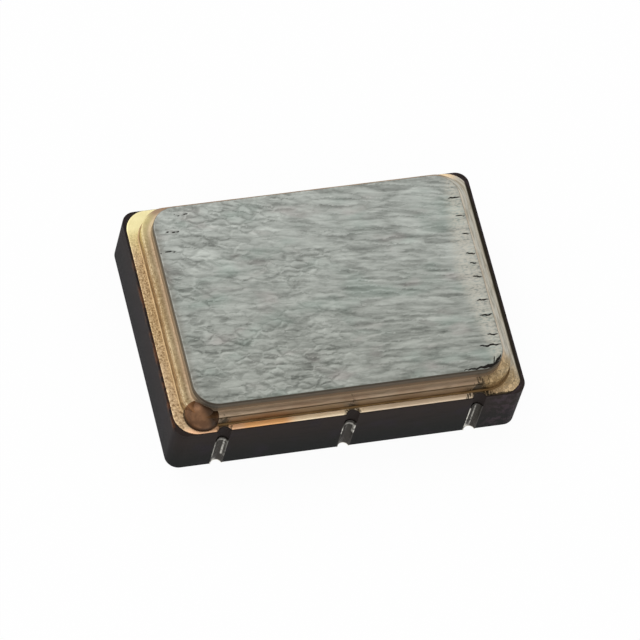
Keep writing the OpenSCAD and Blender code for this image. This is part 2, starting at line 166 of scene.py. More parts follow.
class Finish(NodeMaker):
    def __init__(self, name):
        self.material = bpy.data.materials.new(name)
        self.material.use_nodes = True
        super().__init__(self.material.node_tree, "ShaderNodeOutputMaterial")
        self.place = self.node("ShaderNodeTexCoord", {}, {}, "Object")

    def axes(self):
        split = self.node("ShaderNodeSeparateXYZ", {}, [self.place])
        return [Field(self, out) for out in split.socket.node.outputs]

    def attribute(self, name):
        return self.node("ShaderNodeAttribute", {"attribute_name": name}, {}, "Fac")

    # a place that runs along a piece and across it, for patterns that follow the piece
    def along(self):
        return self.node("ShaderNodeCombineXYZ", {}, [self.attribute("run"), self.attribute("across")])

    def spot(self, size, stretch, shift, place):
        scale = [1 / (size * s) for s in stretch]
        return self.node("ShaderNodeMapping", {}, {"Vector": place or self.place, "Scale": scale,
                                                   "Location": (shift, shift * 0.7, shift * 1.3)})

    # cloudy noise from 0 to 1: size is the width of a blotch, and stretch lengthens it along each axis
    def cloud(self, size, stretch=(1, 1, 1), detail=3, rough=0.5, warp=0, shift=0, place=None):
        return self.node("ShaderNodeTexNoise", {}, {"Vector": self.spot(size, stretch, shift, place), "Scale": 1,
                                                    "Detail": detail, "Roughness": rough, "Distortion": warp},
                         "Fac")

    # distance to the nearest cell's middle, or to the border between cells
    def cells(self, size, stretch=(1, 1, 1), feature="F1", shift=0, place=None):
        return self.node("ShaderNodeTexVoronoi", {"feature": feature},
                         {"Vector": self.spot(size, stretch, shift, place), "Scale": 1}, "Distance")

    # 0 below low, 1 above high, with a soft step between; low may be above high
    def step(self, value, low, high):
        return self.node("ShaderNodeMapRange", {"interpolation_type": "SMOOTHSTEP"},
                         {"Value": value, "From Min": low, "From Max": high})

    # 1 at a line through a point, 0 beyond its reach; the line stands upright, or leans from the band upwards
    def near(self, x, y, reach, soft=0.5, lean=(0, 0)):
        px, py, pz = self.axes()
        pz = pz - 1.29 * mm
        flat = self.node("ShaderNodeCombineXYZ", {}, [px + pz * lean[0], py + pz * lean[1]])
        far = self.node("ShaderNodeVectorMath", {"operation": "DISTANCE"}, [flat, (x, y, 0)], "Value")
        return self.step(far, reach, reach * soft)

    # 1 at the drop of braze, 0 beyond its reach
    def byDrop(self, reach, soft=0.85, lean=(0, 0)):
        return self.near(*brazeForm["drop"], reach, soft, lean)

    # the drop's browns, painted as light and shade across the ball: light towards the end of the case, dark towards
    # the lid, with a darker rim
    def dropBrown(self):
        x, y, z = self.axes()
        clouded = self.step(self.cloud(0.16 * mm, detail=3, shift=6), 0.4, 0.62)
        light = self.mix(clouded, (118, 84, 57), (98, 68, 45))
        dark = self.mix(clouded, (58, 41, 26), (74, 52, 34))
        brown = self.mix(self.step(x + 0.35 * (y + 2.1 * mm), -3.04 * mm, -2.86 * mm), light, dark)
        return self.mix(self.byDrop(0.345 * mm, 0.95), (46, 32, 20), brown)

    def ramp(self, value, *stops):
        return self.node("ShaderNodeValToRGB", {"stops": [(at, shade(c)) for at, c in stops]}, [value])

    def mix(self, factor, first, second, way="MIX"):
        first, second = (c if isinstance(c, Field) else shade(c) for c in (first, second))
        return self.node("ShaderNodeMix", {"data_type": "RGBA", "blend_type": way},
                         {0: factor, 6: first, 7: second}, 2)

    def bump(self, height, depth, strength=1.0):
        return self.node("ShaderNodeBump", {}, {"Strength": strength, "Distance": depth, "Height": height},
                         "Normal")

    # the surface itself: a Principled shader with constants and fields by socket name
    def surface(self, **sockets):
        named = {key.replace("_", " "): value for key, value in sockets.items()}
        for key in ("Base Color", "Emission Color"):
            if key in named and not isinstance(named[key], Field):
                named[key] = shade(named[key])
        shader = self.node("ShaderNodeBsdfPrincipled", {}, named)
        self.tree.links.new(shader.socket, self.output.inputs["Surface"])
        return self.material


def coat(piece, material):
    piece.data.materials.clear()
    piece.data.materials.append(material)


# from here, meshes
def finishPiece(name, mesh, material, node):
    data = bpy.data.meshes.new(name)
    bmesh.ops.recalc_face_normals(mesh, faces=mesh.faces)
    for face in mesh.faces:
        face.smooth = True
    mesh.to_mesh(data)
    mesh.free()
    piece = bpy.data.objects.new(name, data)
    bpy.context.scene.collection.objects.link(piece)
    coat(piece, material)
    data.set_sharp_from_angle(angle=math.radians(50))
    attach(piece, "root")
    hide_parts(node)
    print(name, "built with", len(data.polygons), "faces")
    return piece


# nearest point of the inner rectangle whose corners are the centres of the rounded corners
def coreOf(x, y, coreX, coreY):
    return Vector((max(-coreX, min(coreX, x)), max(-coreY, min(coreY, y)), 0))


# distance run round a rounded rectangle from the middle of its front, to either side
def runOf(x, y, coreX, coreY, radius):
    core = coreOf(abs(x), y, coreX, coreY)
    angle = math.atan2(y - core.y, abs(x) - core.x)
    run = core.x if angle < 0 else 2 * coreX - core.x
    run += core.y + coreY + (angle + math.pi / 2) * radius
    return math.copysign(run, x)


# a closed loop of edges round a rounded rectangle: a circle whose quarters are pulled apart
def roundedLoop(mesh, halfX, halfY, radius, z, cornerSteps, sideCuts):
    steps = cornerSteps * 4
    ring = bmesh.ops.create_circle(mesh, segments=steps, radius=radius, cap_ends=False)["verts"]
    turned = Matrix.Rotation(math.pi / steps, 4, "Z")
    bmesh.ops.rotate(mesh, verts=ring, cent=(0, 0, 0), matrix=turned)
    for vert in ring:
        vert.co.x += math.copysign(halfX - radius, vert.co.x)
        vert.co.y += math.copysign(halfY - radius, vert.co.y)
        vert.co.z = z
    edges = list({edge for vert in ring for edge in vert.link_edges})
    for axis, cuts in ((0, sideCuts[0]), (1, sideCuts[1])):
        across = 1 - axis
        sides = [e for e in edges if e.verts[0].co[axis] * e.verts[1].co[axis] < 0
                 and abs(e.verts[0].co[across] - e.verts[1].co[across]) < micron]
        bmesh.ops.subdivide_edges(mesh, edges=sides, cuts=cuts)


# a frame swept round a rounded rectangle: each section point is (inset, height, corner radius)
# the attributes run and across tell a finish how far round the frame and across its section a point is
def sweptFrame(halfX, halfY, section, cornerSteps, sideCuts):
    mesh = bmesh.new()
    runLayer = mesh.verts.layers.float.new("run")
    acrossLayer = mesh.verts.layers.float.new("across")
    inset, height, radius = section[0]
    roundedLoop(mesh, halfX - inset, halfY - inset, radius, height, cornerSteps, sideCuts)
    firstLoop, border, travelled = list(mesh.verts), list(mesh.edges), 0
    for vert in firstLoop:
        core = coreOf(vert.co.x, vert.co.y, halfX - inset - radius, halfY - inset - radius)
        away = (Vector((vert.co.x, vert.co.y, 0)) - core).normalized()
        vert.co = core + away * radius + Vector((0, 0, height))
        vert[runLayer] = runOf(vert.co.x, vert.co.y, halfX - inset - radius, halfY - inset - radius, radius)
    for before, after in zip(section, section[1:] + section[:1]):
        travelled += math.hypot(after[0] - before[0], after[1] - before[1])
        oldCore = [half - before[0] - before[2] for half in (halfX, halfY)]
        newCore = [half - after[0] - after[2] for half in (halfX, halfY)]
        made = bmesh.ops.extrude_edge_only(mesh, edges=border)["geom"]
        for vert in (g for g in made if isinstance(g, bmesh.types.BMVert)):
            core = coreOf(vert.co.x, vert.co.y, *oldCore)
            away = (Vector((vert.co.x, vert.co.y, 0)) - core).normalized()
            core = Vector((core.x * newCore[0] / oldCore[0], core.y * newCore[1] / oldCore[1], after[1]))
            vert.co = core + away * after[2]
            vert[acrossLayer] = travelled
            vert[runLayer] = runOf(vert.co.x, vert.co.y, *newCore, after[2])
        border = [g for g in made if isinstance(g, bmesh.types.BMEdge)]
    doubles = bmesh.ops.find_doubles(mesh, verts=mesh.verts, keep_verts=firstLoop, dist=micron / 10)
    bmesh.ops.weld_verts(mesh, targetmap=doubles["targetmap"])
    return mesh


# section points round a quarter turn: from the side at height top - r to the top at inset + r
def roundedEdge(inset, top, r, radiusOf, steps):
    points = []
    for i in range(steps + 1):
        a = math.pi / 2 * i / steps
        at = inset + r * (1 - math.cos(a))
        points.append((at, top - r * (1 - math.sin(a)), radiusOf(at)))
    return points


# the grey lid: a rolled plate with fine broken grain along it, seam-welded round its edge
lidForm = {
    "cornerRadius": 0.48 * mm,
    "edgeRadius": 0.03 * mm,
    "edgeSteps": 4,
    "cell": 0.0205 * mm,
    "grainDepth": 9 * micron,
    "streak": (0.46, 0.088),  # millimetres along the lid and across it
    "longScale": (0.80, 0.165, 0.9),  # and how soft the creases between scales are
    "shortScale": (0.26, 0.125, 0.7),
    "lean": (0.11, 0.03),  # how far the grain turns from the long axis, and how that grows to the back
    "weldReach": 0.12 * mm,
    "weldPitch": 0.11 * mm,
    "weldDepth": 4 * micron,
    "footFlare": 14 * micron,
    # short cracks in the weld, and at the front right a long dark line that is the lid wall's painted shadow, sunk
    # like the cracks: place, length along the lid, how much they climb and how wide, in millimetres
    "cracks": [(2.93, 1.62, 0.24, 0.0, 0.016), (2.95, 1.20, 0.20, -0.01, 0.014), (2.97, 0.80, 0.18, 0.0, 0.014),
               (2.96, 0.35, 0.20, -0.02, 0.016), (2.97, 0.13, 0.16, -0.02, 0.014), (2.96, -0.17, 0.18, -0.02, 0.016),
               (2.94, -0.69, 0.24, -0.02, 0.016), (2.93, -1.03, 0.26, -0.02, 0.018), (2.94, -1.47, 0.22, -0.02, 0.016),
               (2.84, -1.69, 0.42, -0.02, 0.020), (2.56, -2.150, 0.72, 0.0, 0.020), (2.76, -2.11, 0.46, 0.07, 0.028),
               (2.93, -2.00, 0.16, 0.16, 0.034), (2.84, -2.02, 0.07, 0.16, 0.030), (2.98, -2.05, 0.18, 0.06, 0.030),
               (-2.47, 2.0, 0.34, -0.03, 0.008), (-2.78, 1.64, 0.40, -0.04, 0.008), (-2.88, 1.21, 0.34, 0.0, 0.010)],
}


def waves(u, v, grid, seed):
    return noise.noise(Vector((u / grid[0], v / grid[1], seed)))


# flat scales of a rolled skin: a dark edge at each one's foot and a light edge at its head, sunk and raised a little
# and painted as shadow and highlight, and a tone of its own
def scales(u, v, form, seed):
    long, high, soft = form
    far, middles = noise.voronoi(Vector((u / long, v / high, seed)))
    reach = min(1.0, (far[1] - far[0]) / soft)
    apart = middles[1] - middles[0]
    upright = apart.y / high / math.hypot(apart.x / long, apart.y / high)
    edge = (1 - reach) * abs(upright)
    onset = min(1.0, reach / 0.3)
    foot = edge * (onset if upright < 0 else 0) + edge * (1 - onset) * 0.5
    return foot, edge * (onset if upright > 0 else 0), noise.cell(middles[0] * 7.3)


# grain of the lid at a point, 0 in the creases to 1 on the ridges: long low scales, and crinkles towards the left
def lidGrain(x, y):
    u, v = x / mm, y / mm
    crinkle = 0.35 - 0.36 * u - 0.14 * v + 1.0 * waves(u, v, (1.3, 0.9), 61.5)
    crinkle = max(0.0, min(1.0, crinkle))
    v += u * (lidForm["lean"][0] + lidForm["lean"][1] * v)
    fine = 0.5 + 0.5 * crinkle
    u += 0.09 * waves(u, v, (0.25, 0.18), 14.2)
    v += 0.06 * waves(u, v, (1.1, 0.8), 3.1) + 0.045 * fine * waves(u, v, (0.17, 0.11), 8.4)
    v += 0.014 * fine * waves(u, v, (0.06, 0.045), 19.7)
    long = scales(u, v, lidForm["longScale"], 11.5)
    short = scales(u, v, lidForm["shortScale"], 31.5)
    turn = max(0.0, min(1.0, 3 * crinkle - 1))
    foot, head, tone = (one + (other - one) * turn for one, other in zip(long, short))
    broken = max(0.2, min(1.0, 0.8 + 0.9 * waves(u, v, (0.5, 0.25), 71.5)))
    streak = waves(u, v, lidForm["streak"], 91.5)
    # painted shadow at each scale's foot and painted highlight at its head, which also set the relief's depth
    edges = (0.14 * head - (0.60 + 0.20 * crinkle) * foot) * broken
    return max(0.0, min(1.0, 0.605 + 0.11 * tone + (0.26 + 0.12 * crinkle) * streak + edges))


# how deep a point lies in the weld's cracks and in the painted shadow line at the front right, from 0 to 1
def lidCrackAndShadowLine(x, y):
    u, v = x / mm, y / mm
    deep = 0.0
    for cx, cy, length, climb, width in lidForm["cracks"]:
        part = (u - cx) / length
        if abs(part) < 0.5:
            line = cy + climb * part + 0.03 * noise.noise(Vector((u * 14, cy, 2.5)))
            deep = max(deep, 1.3 - abs(v - line) / width - 2 * part * part)
    return max(0.0, min(1.0, deep))


def buildLid(material):
    low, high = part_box("lid")
    halfX, halfY, top = high.x, high.y, high.z
    rim = lidForm["edgeRadius"]
    coreX, coreY = halfX - lidForm["cornerRadius"], halfY - lidForm["cornerRadius"]
    flatX, flatY = halfX - rim, halfY - rim
    mesh = bmesh.new()
    sideLayer = mesh.verts.layers.float.new("side")
    bmesh.ops.create_grid(mesh, x_segments=round(2 * flatX / lidForm["cell"]),
                          y_segments=round(2 * flatY / lidForm["cell"]), size=1)
    bmesh.ops.scale(mesh, verts=mesh.verts, vec=(flatX, flatY, 1))
    bmesh.ops.translate(mesh, verts=mesh.verts, vec=(0, 0, top))
    # square corners drawn in to round ones
    for vert in mesh.verts:
        u = (abs(vert.co.x) - coreX) / (flatX - coreX)
        v = (abs(vert.co.y) - coreY) / (flatY - coreY)
        if u > 0 and v > 0:
            vert.co.x = math.copysign(coreX + (flatX - coreX) * u * math.sqrt(1 - v * v / 2), vert.co.x)
            vert.co.y = math.copysign(coreY + (flatY - coreY) * v * math.sqrt(1 - u * u / 2), vert.co.y)
    # rounded rim, then the wall, then a foot that flares where it is welded to the ring
    section = [(rim * math.sin(a), rim * (1 - math.cos(a)))
               for a in (math.pi / 2 * (i + 1) / lidForm["edgeSteps"] for i in range(lidForm["edgeSteps"]))]
    wall = top - low.z
    flare = lidForm["footFlare"]
    section += [(rim, wall * part) for part in (0.5, 0.85)]
    section += [(rim + flare * 0.4, wall * 0.94), (rim + flare, wall)]
    border = [edge for edge in mesh.edges if edge.is_boundary]
    for out, down in section:
        made = bmesh.ops.extrude_edge_only(mesh, edges=border)["geom"]
        for vert in (g for g in made if isinstance(g, bmesh.types.BMVert)):
            core = coreOf(vert.co.x, vert.co.y, coreX, coreY)
            away = (Vector((vert.co.x, vert.co.y, 0)) - core).normalized()
            flat = core + away * (lidForm["cornerRadius"] - rim + out)
            vert.co = Vector((flat.x, flat.y, top - down))
            vert[sideLayer] = min(1.0, out / rim)
        border = [g for g in made if isinstance(g, bmesh.types.BMEdge) and g.is_boundary]
    bmesh.ops.contextual_create(mesh, geom=border)
    # the grain, the weld's ripples along the rim, its cracks and the painted shadow line, and the depth of each as an
    # attribute
    grain, weld, crack = (mesh.verts.layers.float.new(name) for name in ("grain", "weld", "crack"))
    for vert in mesh.verts:
        x, y = vert.co.x, vert.co.y
        core = coreOf(x, y, coreX, coreY)
        inward = lidForm["cornerRadius"] - (Vector((x, y, 0)) - core).length
        nearRim = max(0.0, 1 - inward / lidForm["weldReach"])
        run = runOf(x, y, coreX, coreY, lidForm["cornerRadius"])
        beat = 0.5 + 0.5 * math.sin(2 * math.pi * run / lidForm["weldPitch"]
                                    + 2.5 * noise.noise(Vector((x, y, 0)) / mm * 3))
        vert[grain] = lidGrain(x, y)
        vert[weld] = nearRim * beat
        vert[crack] = lidCrackAndShadowLine(x, y)
        fade = max(0.0, 1 - (top - vert.co.z) / (2 * rim))
        sink = lidForm["grainDepth"] * (1 - vert[grain] + 1.5 * vert[crack]) + lidForm["weldDepth"] * vert[weld]
        vert.co.z -= sink * fade
    return finishPiece("lidPlate", mesh, material, "lid")


def lidFinish():
    f = Finish("mattGreyNickel")
    x, y, z = f.axes()
    grain = f.attribute("grain")
    tint = f.cloud(0.7 * mm, (1.6, 0.8, 1), detail=2, shift=4)
    warm = f.cloud(0.5 * mm, (1.8, 0.9, 1), detail=2, shift=21)
    speck = f.cloud(0.035 * mm, (2.2, 1, 1), detail=3, shift=9)
    sheet = f.node("ShaderNodeCombineXYZ", {}, [x, y + x * (0.11 + y * 30), z])
    streak = f.cloud(0.055 * mm, (4.5, 1, 1), detail=3, rough=0.65, warp=0.3, shift=33, place=sheet)
    # dark crease lines painted as shade, with no groove under them
    crease = f.cloud(0.11 * mm, (5.5, 1, 1), detail=2, warp=0.35, shift=41, place=sheet)
    crease = f.step((crease - 0.5).size(), 0.04, 0.006) * f.step(f.cloud(0.3 * mm, detail=1, shift=47), 0.42, 0.55)
    level = grain * 0.82 + f.step(streak, 0.3, 0.7) * 0.26 + 0.02 - crease * 0.14
    toBack = f.step(y, -2.3 * mm, 2.3 * mm)
    # painted light and shade of the relief: darker where the grain is low, lighter where it is high, both a little
    # lighter towards the back
    valley = f.mix(toBack, (94, 97, 91), (110, 113, 108))
    ridge = f.mix(toBack, (172, 175, 168), (188, 192, 186))
    colour = f.mix(level, valley, ridge)
    colour = f.mix(f.step(tint, 0.5, 0.7) * 0.4, colour, f.mix(grain, (104, 118, 109), (164, 179, 170)))
    colour = f.mix(f.step(warm, 0.54, 0.74) * 0.4, colour, f.mix(grain, (118, 110, 108), (183, 174, 170)))
    colour = f.mix(f.step(speck, 0.6, 0.8) * 0.25, colour, (196, 198, 193))
    margin = f.step(x - 0.12 * y.size(), 2.45 * mm, 2.75 * mm) * f.step(speck, 0.3, 0.6)
    colour = f.mix(margin * 0.6, colour, (196, 191, 178))
    colour = f.mix(f.attribute("weld") * 0.2, colour, (120, 116, 104))
    colour = f.mix(f.step(0 - x, 2.9 * mm, 3.05 * mm) * 0.4, colour, (112, 106, 98))
    # near-black in the cracks, and in the painted shadow line along the front at the right
    colour = f.mix(f.step(f.attribute("crack"), 0.15, 0.55), colour, (24, 21, 17))
    low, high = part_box("lid")
    side = f.step(f.attribute("side"), 0.55, 0.8)
    rim = f.step(z, high.z - 0.085 * mm, high.z - 0.065 * mm)
    rim = rim.greater(f.step(0 - x, 2.95 * mm, 3.05 * mm) * f.step(z, high.z - 0.16 * mm, high.z - 0.13 * mm))
    foot = f.step(z, low.z + 0.11 * mm, low.z + 0.05 * mm)
    # the lid's side: painted darker than its top as shade, darker still near the top, lighter at the left end as
    # painted light, and warmer at the foot
    edge = f.mix(f.cloud(0.2 * mm, detail=2), (98, 96, 90), (122, 112, 98))
    edge = f.mix(f.step(0 - x, 2.9 * mm, 3.05 * mm), edge, (166, 156, 138))
    edge = f.mix(foot * 0.6, edge, (150, 130, 108))
    edge = f.mix(rim * 0.8, edge, (66, 58, 48))
    colour = f.mix(side, colour, edge)
    relief = grain * 0.3 + speck * 0.7
    return f.surface(Base_Color=colour, Metallic=0.85, Roughness=0.46 + 0.16 * speck,
                     Normal=f.bump(relief, 2 * micron))


# the gold-plated ring that carries the lid
ringForm = {
    "cornerRadius": 0.55 * mm,
    "innerRadius": 0.24 * mm,
    "wall": 0.45 * mm,
    "edgeRadius": 0.014 * mm,
    "edgeSteps": 3,
    "cornerSteps": 20,
    "sideCuts": (150, 100),
    "waviness": 4 * micron,
    "groove": (0.072 * mm, 0.030 * mm, 12 * micron),  # how far below the top it starts and ends, and its depth
}


def buildRing(material):
    low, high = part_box("seal_ring")
    halfX, halfY = high.x, high.y
    wall, rim = ringForm["wall"], ringForm["edgeRadius"]

    def radiusAt(inset):
        part = max(0.0, min(1.0, inset / wall))
        return ringForm["cornerRadius"] * (1 - part) + ringForm["innerRadius"] * part

    section = [(0, low.z, radiusAt(0))]
    start, end, depth = ringForm["groove"]
    section += [(0, low.z + (high.z - start - low.z) * part, radiusAt(0)) for part in (0.3, 0.6, 1)]
    section += [(depth, high.z - start + depth / 2, radiusAt(depth)), (depth, high.z - end - depth / 2, radiusAt(depth)),
                (0, high.z - end, radiusAt(0))]
    section += roundedEdge(0, high.z, rim, radiusAt, ringForm["edgeSteps"])
    section += [(wall * part, high.z, radiusAt(wall * part)) for part in (0.15, 0.25, 0.35, 0.6)]
    section += [(wall, high.z, radiusAt(wall)), (wall, low.z, radiusAt(wall))]
    mesh = sweptFrame(halfX, halfY, section, ringForm["cornerSteps"], ringForm["sideCuts"])
    # the ring is blanked and plated, so its outside is never quite even
    for vert in mesh.verts:
        core = coreOf(vert.co.x, vert.co.y, halfX - ringForm["cornerRadius"], halfY - ringForm["cornerRadius"])
        away = Vector((vert.co.x, vert.co.y, 0)) - core
        if away.length > ringForm["cornerRadius"] - 0.16 * mm:
            wave = 0.5 + 0.5 * noise.noise(vert.co / mm * 2.2) + 0.25 * noise.noise(vert.co / mm * 9)
            vert.co -= away.normalized() * ringForm["waviness"] * max(0.0, wave)
    return finishPiece("sealRingFrame", mesh, material, "seal_ring")


# the metallised band on the ceramic, pulled back round each notch
bandForm = {
    "cornerRadius": 0.44 * mm,
    "width": 0.70 * mm,
    "innerRadius": 0.20 * mm,
    "lip": 7 * micron,
    "cornerSteps": 18,
    "sideCuts": (280, 110),
    "notchPitch": 2.54 * mm,
    "notchWidth": 0.26 * mm,
    "notchDepth": 0.10 * mm,
    "pullBack": 0.01 * mm,
    "grit": 2.5 * micron,
}


def buildBand(material):
    low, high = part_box("seal_band")
    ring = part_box("seal_ring")[1]
    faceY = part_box("ceramic_base")[1].y
    halfX, halfY, top = high.x, high.y, high.z
    lip = bandForm["lip"]

    def radiusAt(inset):
        part = max(0.0, min(1.0, inset / bandForm["width"]))
        return bandForm["cornerRadius"] * (1 - part) + bandForm["innerRadius"] * part

    section = [(0, low.z, radiusAt(0))]
    section += roundedEdge(0, top, lip, radiusAt, 3)
    section += [(at * mm, top, radiusAt(at * mm)) for at in (0.03, 0.06, 0.09, 0.12, 0.15, 0.18, 0.21, 0.3)]
    section += [(bandForm["width"], top, radiusAt(bandForm["width"])),
                (bandForm["width"], low.z, radiusAt(bandForm["width"]))]
    mesh = sweptFrame(halfX, halfY, section, bandForm["cornerSteps"], bandForm["sideCuts"])
    # the long sides are squeezed towards the ring where an arc round each notch holds them back
    half = bandForm["notchWidth"] / 2
    depth = bandForm["notchDepth"]
    notchRadius = (half * half + depth * depth) / (2 * depth)
    arc = notchRadius + bandForm["pullBack"]
    centreY = faceY + notchRadius - depth
    firm = ring.y - 0.02 * mm
    for vert in mesh.verts:
        y = abs(vert.co.y)
        if y <= firm:
            continue
        for notchX in (-bandForm["notchPitch"], 0, bandForm["notchPitch"]):
            off = vert.co.x - notchX
            if abs(off) < arc:
                edge = min(halfY, centreY - math.sqrt(arc * arc - off * off))
                y = firm + (y - firm) * (edge - firm) / (halfY - firm)
        vert.co.y = math.copysign(y, vert.co.y)
    # thick film fires to a sandy surface
    for vert in mesh.verts:
        if vert.co.z > top - lip / 2:
            vert.co.z -= bandForm["grit"] * (0.5 + 0.5 * noise.noise(vert.co / mm * 18))
    return finishPiece("goldBand", mesh, material, "seal_band")


# the braze that joins ring to band, with a fillet that climbs the foot of the ring
brazeForm = {
    "cornerRadius": 0.585 * mm,
    "innerRadius": 0.24 * mm,
    "width": 0.485 * mm,
    "thickness": 0.02 * mm,
    "fillet": 0.035 * mm,
    "steps": 6,
    "cornerSteps": 20,
    "sideCuts": (150, 100),
    "drop": (-2.91 * mm, -2.10 * mm),  # the corner where braze ran out and set in a drop
    "dropRadius": 0.345 * mm,
    "dropSteps": (108, 72),
    "dropSunk": 10 * micron,  # how far the drop's hidden side stands inside ring and lid
}


def buildBraze(material):
    low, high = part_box("braze_joint")
    halfX, halfY = high.x, high.y
    fillet, width, ringZ = brazeForm["fillet"], brazeForm["width"], low.z + brazeForm["thickness"]

    def radiusAt(inset):
        part = max(0.0, min(1.0, inset / width))
        return brazeForm["cornerRadius"] * (1 - part) + brazeForm["innerRadius"] * part

    section = [(0, low.z, radiusAt(0))]
    for i in range(1, brazeForm["steps"] + 1):
        a = math.pi / 2 * i / brazeForm["steps"]
        at = fillet * math.sin(a)
        section.append((at, low.z + fillet * (1 - math.cos(a)), radiusAt(at)))
    inside = fillet + 8 * micron
    section += [(inside, low.z + fillet, radiusAt(inside)), (inside, ringZ, radiusAt(inside)),
                (width, ringZ, radiusAt(width)), (width, low.z, radiusAt(width))]
    mesh = sweptFrame(halfX, halfY, section, brazeForm["cornerSteps"], brazeForm["sideCuts"])
    radius = brazeForm["cornerRadius"]
    for vert in mesh.verts:
        core = coreOf(vert.co.x, vert.co.y, halfX - radius, halfY - radius)
        away = Vector((vert.co.x, vert.co.y, 0)) - core
        outside = away.length - (radius - fillet)
        if outside < -micron:
            continue
        wave = noise.noise(vert.co / mm * 2.7) * 0.3 + noise.noise(vert.co / mm * 8) * 0.15
        outBy = outside * (1 + wave * 0.4)
        climbs = (vert.co.z - low.z) * (1 + wave * 0.4)
        flat = core + away.normalized() * (radius - fillet + min(outBy, fillet))
        vert.co = Vector((flat.x, flat.y, low.z + climbs))
    addDrop(mesh, low.z)
    return finishPiece("brazeFillet", mesh, material, "braze_joint")


# half a ball on the band, with the side that meets the ring and the lid laid just inside them
def addDrop(mesh, foot):
    ring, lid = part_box("seal_ring")[1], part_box("lid")[1]
    sunk = brazeForm["dropSunk"]
    ledge = ring.z - sunk
    known = set(mesh.verts)
    steps = brazeForm["dropSteps"]
    bmesh.ops.create_uvsphere(mesh, u_segments=steps[0], v_segments=steps[1], radius=brazeForm["dropRadius"])
    ball = [vert for vert in mesh.verts if vert not in known]
    bmesh.ops.translate(mesh, verts=ball, vec=(*brazeForm["drop"], foot))
    parts = ball + list({e for v in ball for e in v.link_edges}) + list({f for v in ball for f in v.link_faces})
    bmesh.ops.bisect_plane(mesh, geom=parts, plane_co=(0, 0, foot), plane_no=(0, 0, 1), clear_inner=True,
                           dist=micron)
    ball = [vert for vert in mesh.verts if vert not in known]
    rim = list({e for v in ball for e in v.link_edges if e.is_boundary})
    bmesh.ops.contextual_create(mesh, geom=rim)
    for vert in ball:
        for wall, radius, bottom, top in ((ring, ringForm["cornerRadius"], foot, ledge),
                                          (lid, lidForm["cornerRadius"], ledge, lid.z)):
            core = coreOf(vert.co.x, vert.co.y, wall.x - radius, wall.y - radius)
            away = Vector((vert.co.x, vert.co.y, 0)) - core
            inside = radius - sunk - away.length
            if inside <= 0 or not bottom <= vert.co.z < top:
                continue
            if top == ledge and ledge - vert.co.z < inside:
                vert.co.z = ledge
            else:
                flat = core + away.normalized() * (radius - sunk)
                vert.co = Vector((flat.x, flat.y, vert.co.z))


# gold plating over the frame's parts: paler to the right, sandy to the left, brown by the run-out corner
def goldFinish(name, tones, rough):
    f = Finish(name)
    x, y, z = f.axes()
    path = f.along()
    towardsLeft = 0 - x / (3.5 * mm) - y.size() / (2.5 * mm)
    towardsRight = x / (3.5 * mm) - y.size() / (2.5 * mm)
    left = f.step(towardsLeft, -0.08, 0.04)
    right = f.step(towardsRight, -0.12, 0.02)
    broad = f.cloud(0.8 * mm, detail=2, shift=2)
    streak = f.cloud(0.03 * mm, (12, 1, 1), detail=3, shift=13, place=path)
    thread = f.cloud(0.012 * mm, (30, 1, 1), detail=2, shift=19, place=path)
    coarse = f.cloud(0.055 * mm, detail=2, rough=0.6, shift=35)
    sand = f.mix(f.near(-3.2 * mm, -1.9 * mm, 1.3 * mm, 0.3), f.cloud(0.034 * mm, detail=2, rough=0.7, shift=31), coarse)
    colour = f.mix(f.step(broad, 0.35, 0.65), tones["pale"], tones["warm"])
    colour = f.mix(f.step(streak, 0.5, 0.72) * 0.7, colour, tones["dark"])
    colour = f.mix(f.step(thread, 0.6, 0.75) * 0.5, colour, tones["light"])
    leftTone = f.mix(f.step(broad, 0.38, 0.62), tones["leftPale"], tones["leftWarm"])
    leftTone = f.mix(f.step(sand, 0.5, 0.36) * 0.8, leftTone, tones["leftDark"])
    leftTone = f.mix(f.step(sand, 0.53, 0.66) * 0.85, leftTone, tones["leftLight"])
    # pale yellow towards the back on the left: a painted highlight, the lamp's glare on the gold
    leftTone = f.mix(f.step(y, 1.3 * mm, 2.3 * mm) * 0.7, leftTone, (228, 218, 160))
    rightTone = f.mix(f.step(streak, 0.42, 0.62), tones["rightPale"], tones["rightDark"])
    colour = f.mix(left, colour, leftTone)
    colour = f.mix(right, colour, rightTone)
    marble = f.cloud(0.10 * mm, detail=4, rough=0.6, warp=1.2, shift=57)
    vein = f.step((marble - 0.5).size(), 0.035, 0.008)
    corner = f.near(3.0 * mm, -2.25 * mm, 0.62 * mm, 0.45)
    stained = f.mix(f.step(marble, 0.42, 0.58), (150, 124, 82), (186, 160, 118))
    stained = f.mix(vein * 0.75, stained, (62, 49, 28))
    if tones["isRing"]:
        colour = ringShades(f, colour, left, thread)
    else:
        colour = bandShades(f, colour, left)
    colour = f.mix(corner * f.step(x, 3.415 * mm, 3.385 * mm) * 0.8, colour, stained)
    # and a black line along the outer edge between the third notch and the end
    edge = y + (marble - 0.5) * 0.12 * mm
    blackEdgeLine = f.step(edge, -2.435 * mm, -2.455 * mm) * f.step(x, 2.66 * mm, 2.74 * mm)
    colour = f.mix(blackEdgeLine * 0.9, colour, (24, 19, 12))
    # flux burnt dark above each notch
    notch = (x.size() - 2.54 * mm).size().lesser(x.size())
    climb = z - 1.29 * mm - y.size() + 2.5 * mm
    burnt = f.cloud(0.05 * mm, (1, 2, 2), detail=3, rough=0.7, shift=44) * 0.5 * mm
    spiky = f.cloud(0.035 * mm, (1, 6, 6), detail=2, shift=46) * 0.75 * mm
    atThird = f.step(x, 2.2 * mm, 2.3 * mm) * f.step(y, -2.0 * mm, -2.1 * mm)
    scorch = f.step(notch + climb * 0.35 - burnt, -0.04 * mm, -0.16 * mm)
    scorch = scorch.greater(atThird * f.step(notch + climb * 0.35 - spiky, -0.13 * mm, -0.19 * mm))
    colour = f.mix(scorch * tones["scorch"], colour, f.mix(atThird, (46, 37, 20), (20, 16, 10)))
    return f.surface(Base_Color=colour, Metallic=1.0, Roughness=rough + 0.12 * sand,
                     Normal=f.bump(sand * 0.6 + streak * 0.4, 4 * micron))
